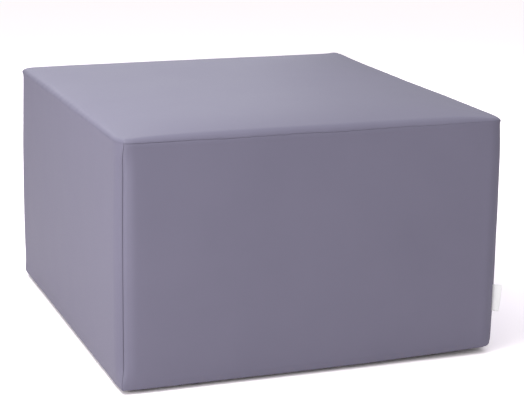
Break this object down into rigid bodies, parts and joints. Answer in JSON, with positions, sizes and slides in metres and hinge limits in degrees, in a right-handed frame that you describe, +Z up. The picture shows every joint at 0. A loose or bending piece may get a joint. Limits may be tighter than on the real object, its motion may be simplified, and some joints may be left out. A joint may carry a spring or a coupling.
{
  "type": "cube pouf stool",
  "caption": "Low square pouf stool: a filled body in a sewn faux leather cover whose top panel rolls over the edges, with a flat base cloth and a folded label.",
  "frame": {"origin": "middle of the base, on the surface that the pouf stands on", "axes": "+Z up, the front panel faces -Y, the label stands out of the corner seam between +X and -Y"},
  "size_m": [0.6634, 0.699, 0.418],
  "materials": {
    "cover_leather": "smooth lilac grey faux leather, fine grain, soft sheen",
    "filled_body": "filled body, seen only as the dark bottom of the seams",
    "base_cloth": "plain dark woven closing cloth",
    "label_tape": "white woven tape, bare"
  },
  "bodies": {
    "root": {"filled_body": "filled_body", "top_panel": "cover_leather", "front_panel": "cover_leather", "right_panel": "cover_leather", "back_panel": "cover_leather", "left_panel": "cover_leather", "base_cloth": "base_cloth", "label": "label_tape"}
  },
  "joints": []
}
